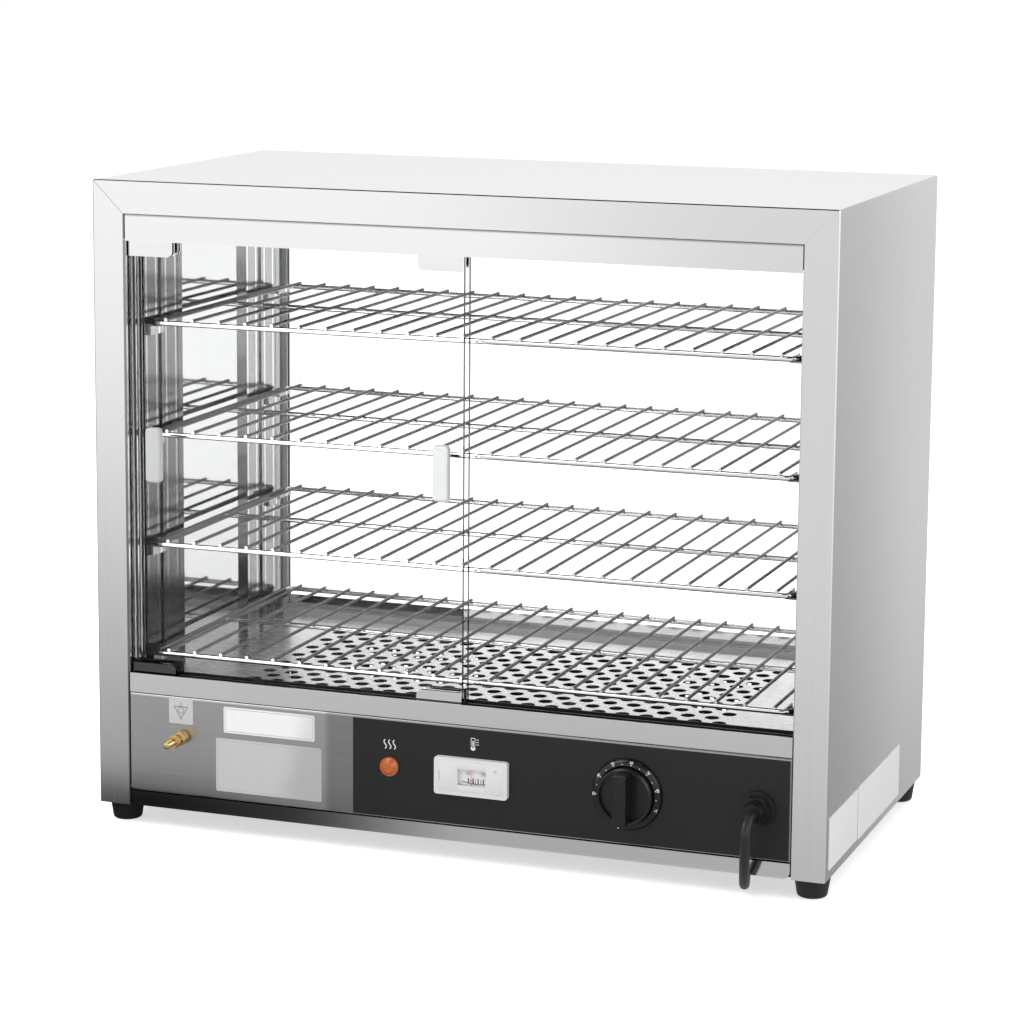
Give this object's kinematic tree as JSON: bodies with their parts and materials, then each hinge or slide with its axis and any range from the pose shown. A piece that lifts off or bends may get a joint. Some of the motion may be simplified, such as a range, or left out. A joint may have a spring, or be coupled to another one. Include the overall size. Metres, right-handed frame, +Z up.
{
  "type": "countertop pie warmer",
  "caption": "Countertop hot food display cabinet with sliding glass doors, wire shelves, perforated heat plate, thermostat dial and thermometer.",
  "frame": {"origin": "on the surface the feet stand on, under the middle of the object's box measured without the mains cord", "axes": "+X to the right as seen from the service side, +Y away from the service side, +Z up"},
  "size_m": [0.6604, 0.5304, 0.57],
  "materials": {
    "brushed_casing": "fine brushed stainless steel",
    "bright_steel": "bright annealed stainless steel, near mirror",
    "wall_steel": "reflective stainless steel liner",
    "pilaster_steel": "darker rolled steel strip",
    "plate_steel": "perforated aluminium plate",
    "wire_chrome": "bright chromed wire",
    "door_glass": "clear toughened glass, polished edges",
    "frosted_plastic": "pale translucent plastic",
    "track_black": "black extruded plastic",
    "fascia_black": "satin black printed panel",
    "knob_black": "black moulded plastic, satin",
    "dial_black": "black dial ring with white numbers",
    "lamp_amber": "translucent amber lens",
    "meter_white": "white moulded plastic",
    "meter_clear": "clear plastic window",
    "meter_card": "printed scale card",
    "needle_red": "red painted pointer",
    "brass": "machined brass",
    "plate_grey": "blank satin plate",
    "sticker_yellow": "printed sticker",
    "rubber_black": "moulded black rubber",
    "cord_black": "black rubber-like sheath",
    "plug_black": "black moulded plug with bare pins",
    "gland_black": "black nylon",
    "gasket": "pale silicone",
    "galvanised": "galvanised steel",
    "element_steel": "dull heat-tinted steel",
    "copper": "copper bulb and tube",
    "ceramic": "pale heat-proof plastic",
    "shaft_steel": "plain steel"
  },
  "bodies": {
    "cabinet": {"outer_casing": "brushed_casing", "left_inner_wall": "wall_steel", "right_inner_wall": "wall_steel", "inner_ceiling": "wall_steel", "front_header": "bright_steel", "far_header": "bright_steel", "front_sill": "bright_steel", "far_sill": "bright_steel", "lower_door_track": "track_black", "upper_door_track": "track_black", "door_jambs": "track_black", "far_glass": "door_glass", "glass_gasket": "gasket", "far_panel": "bright_steel", "front_pilasters": "pilaster_steel", "far_pilasters": "pilaster_steel", "shelf_hooks": "pilaster_steel", "wire_shelf_1": "wire_chrome", "wire_shelf_2": "wire_chrome", "wire_shelf_3": "wire_chrome", "wire_shelf_4": "wire_chrome", "heat_plate": "plate_steel", "left_heating_element": "element_steel", "right_heating_element": "element_steel", "element_brackets": "galvanised", "base_pan": "bright_steel", "feet": "rubber_black", "foot_screws": "shaft_steel", "control_panel": "bright_steel", "panel_fascia": "fascia_black", "front_plates": "plate_grey", "bonding_sticker": "sticker_yellow", "side_labels": "plate_grey", "bonding_stud": "brass", "bonding_nuts": "brass", "lamp_lens": "lamp_amber", "lamp_body": "ceramic", "thermometer_case": "meter_white", "thermometer_window": "meter_clear", "thermometer_card": "meter_card", "thermometer_sensor": "copper", "dial_ring": "dial_black", "thermostat_body": "ceramic", "thermostat_sensor": "copper", "terminal_block": "ceramic", "wiring_loom": "cord_black", "cable_gland": "gland_black", "power_cord": "cord_black", "cord_coil": "cord_black", "coil_tie": "cord_black", "plug": "plug_black"},
    "left_door": {"left_door_glass": "door_glass", "left_door_handle": "frosted_plastic", "left_door_clips": "bright_steel"},
    "right_door": {"right_door_glass": "door_glass", "right_door_handle": "frosted_plastic", "right_door_clips": "bright_steel"},
    "knob": {"thermostat_knob": "knob_black", "thermostat_shaft": "shaft_steel"},
    "needle": {"thermometer_needle": "needle_red"}
  },
  "joints": [
    {"name": "left_door_slide", "type": "slide", "parent": "cabinet", "child": "left_door", "axis": [1, 0, 0], "range_m": [0, 0.2899]},
    {"name": "right_door_slide", "type": "slide", "parent": "cabinet", "child": "right_door", "axis": [1, 0, 0], "range_m": [0, 0.2899]},
    {"name": "thermostat_turn", "type": "hinge", "parent": "cabinet", "child": "knob", "pos_m": [0.1595, -0.16745, 0.0756], "axis": [0, 1, 0], "range_deg": [0, 280]},
    {"name": "needle_turn", "type": "hinge", "parent": "cabinet", "child": "needle", "pos_m": [0.0215, -0.1633, 0.0804], "axis": [0, -1, 0], "range_deg": [-25, 45]}
  ]
}
